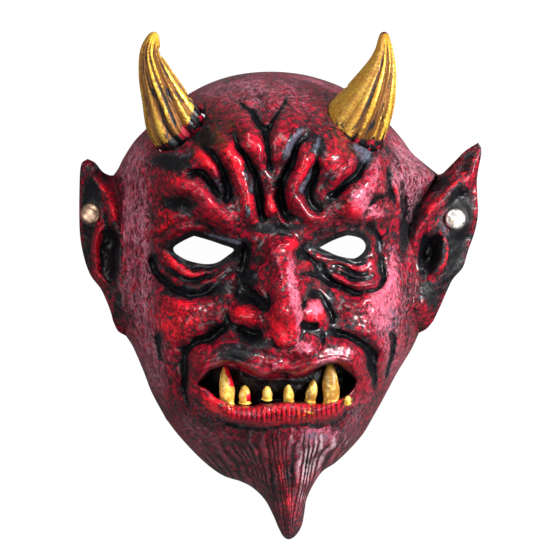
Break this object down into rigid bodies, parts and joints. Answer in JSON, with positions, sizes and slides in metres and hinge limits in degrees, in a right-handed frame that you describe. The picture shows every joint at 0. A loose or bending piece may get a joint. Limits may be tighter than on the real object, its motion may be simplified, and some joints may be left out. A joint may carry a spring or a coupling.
{
  "type": "latex devil mask",
  "caption": "Horned devil face mask: a thin moulded latex shell with pointed ears, wrinkled brow, open toothed mouth and separate curved horns, lying face up on its rim.",
  "frame": {"origin": "centre of the mask's bounding box in plan, on the plane of the rim that it lies on", "axes": "+X towards the picture's right, +Y from the chin to the horn tips, +Z out of the face, away from the wearer"},
  "size_m": [0.1966, 0.2458, 0.0915],
  "materials": {
    "mask_latex": "semi-gloss painted latex, red over black",
    "horn_latex": "semi-gloss painted latex, gold over black",
    "rivet_metal": "pale polished plating"
  },
  "bodies": {
    "root": {"mask": "mask_latex", "left_horn": "horn_latex", "right_horn": "horn_latex", "left_ear_rivet": "rivet_metal", "right_ear_rivet": "rivet_metal"}
  },
  "joints": []
}
